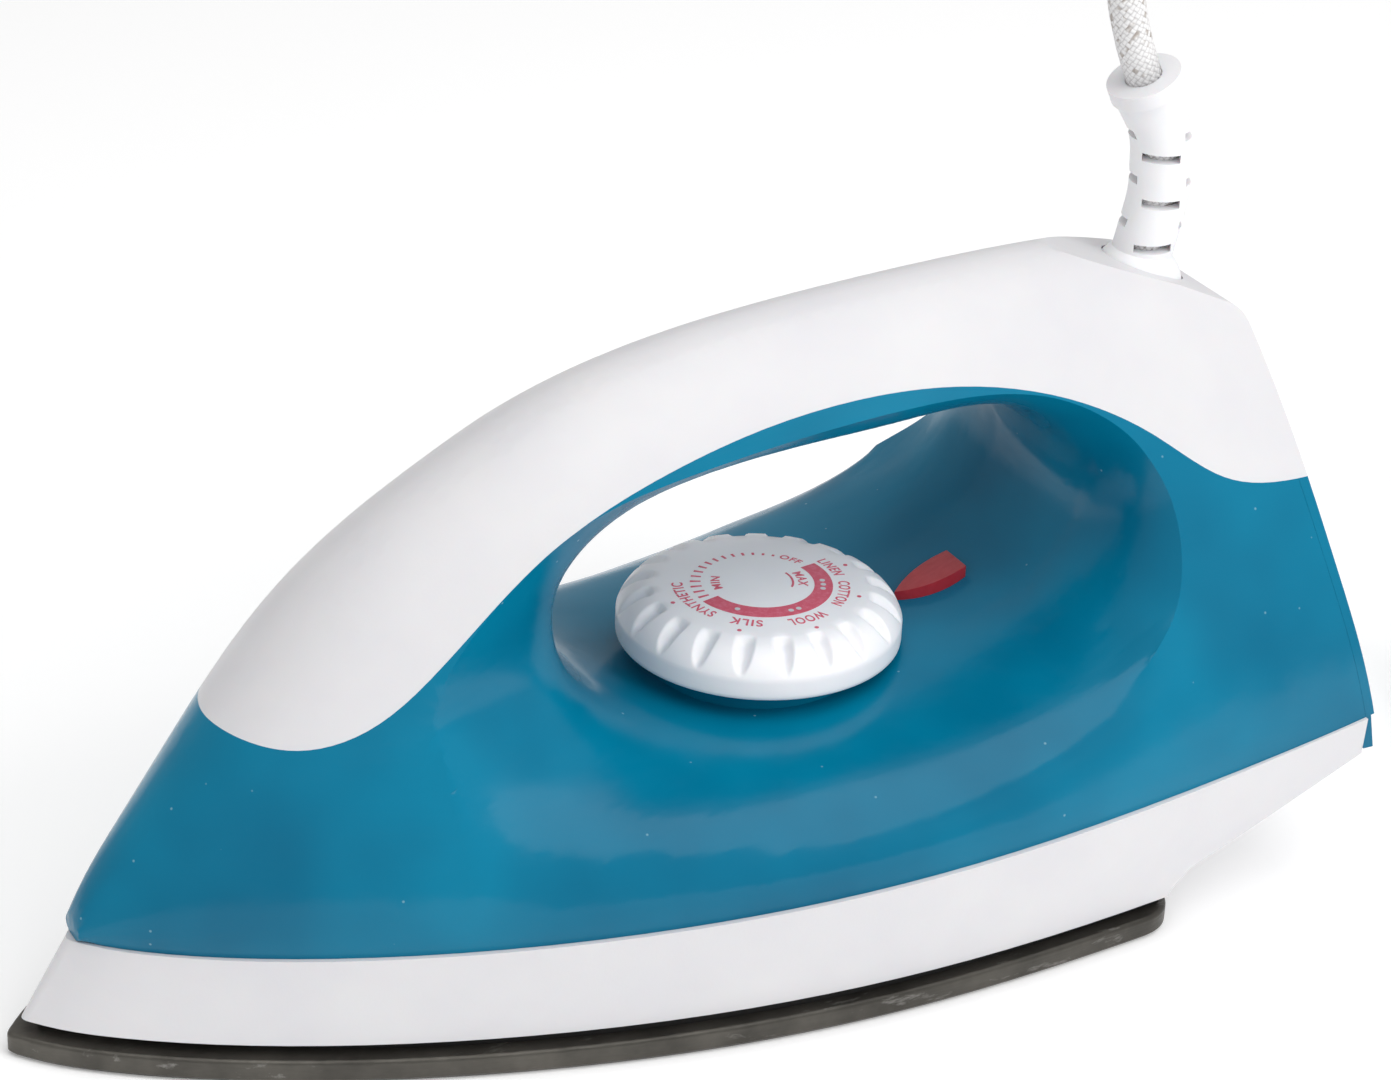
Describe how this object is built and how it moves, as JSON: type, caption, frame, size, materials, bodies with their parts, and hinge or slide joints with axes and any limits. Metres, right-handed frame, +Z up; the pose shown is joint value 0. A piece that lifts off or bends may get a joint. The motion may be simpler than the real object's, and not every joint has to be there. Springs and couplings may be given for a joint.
{
  "type": "electric iron",
  "caption": "Corded dry iron with boat-shaped soleplate, arched hollow handle, round heat dial, swivelling cord guard and coiled lead.",
  "frame": {"origin": "on the flat ironing face, in the plane of symmetry, 125 mm behind the tip of the toe", "axes": "+X towards the toe, +Y to the left side, +Z up, away from the ironing face"},
  "size_m": [0.4103, 0.1522, 0.2311],
  "materials": {
    "sole_casting": "cast grey, brushed edge",
    "white_plastic": "glossy moulded",
    "teal_plastic": "glossy moulded",
    "gasket_black": "matt",
    "steel": "plated",
    "brass": "bare",
    "ceramic": "unglazed steatite",
    "lens_red": "translucent red",
    "clear_glass": "clear bulb",
    "terminal_plastic": "moulded",
    "guard_pvc": "soft moulded",
    "cord_braid": "textile braid with grey flecks",
    "wire_insulation": "sleeved",
    "tie_plastic": "moulded",
    "plug_white": "moulded",
    "plated_pin": "nickel plated"
  },
  "bodies": {
    "root": {"soleplate": "sole_casting", "heating_element": "steel", "sole_gasket": "gasket_black", "skirt": "white_plastic", "heat_shield": "steel", "body_shell": "teal_plastic", "handle_cover": "white_plastic", "heel_plate": "teal_plastic", "indicator_lens": "lens_red", "thermostat_base": "steel", "thermostat_insulators": "ceramic", "thermostat_rivet": "steel", "bimetal_strip": "steel", "contact_blade": "brass", "spindle_bush": "steel", "thermal_fuse": "steel", "fuse_sleeve": "ceramic", "neon_lamp": "clear_glass", "lamp_leads": "wire_insulation", "terminal_block": "terminal_plastic", "terminal_screws": "brass", "block_screws": "steel", "cord_clamp": "terminal_plastic", "clamp_screws": "steel", "cord_tail": "cord_braid", "core_wires": "wire_insulation", "live_wire": "wire_insulation", "neutral_wire": "wire_insulation", "earth_wire": "wire_insulation", "earth_screw": "steel", "link_wires": "wire_insulation", "front_bolt": "steel", "rear_studs": "steel", "handle_screws": "steel", "heel_screw": "steel", "guard_seat": "white_plastic", "cord": "cord_braid", "cord_coil": "cord_braid", "coil_tie": "tie_plastic", "plug_lead": "cord_braid", "plug_body": "plug_white", "plug_pins": "plated_pin"},
    "dial": {"temperature_dial": "white_plastic", "dial_shaft": "steel", "dial_clip": "steel"},
    "guard": {"cord_guard": "guard_pvc", "guard_cord": "cord_braid"}
  },
  "joints": [
    {"name": "dial_turn", "type": "hinge", "parent": "root", "child": "dial", "pos_m": [-0.0209, 0, 0.05], "axis": [0, 0, 1], "range_deg": [-40, 270]},
    {"name": "guard_swivel", "type": "hinge", "parent": "root", "child": "guard", "pos_m": [-0.0977, 0, 0.1094], "axis": [0, 1, 0], "range_deg": [-25, 4], "deforming": ["cord"]}
  ]
}
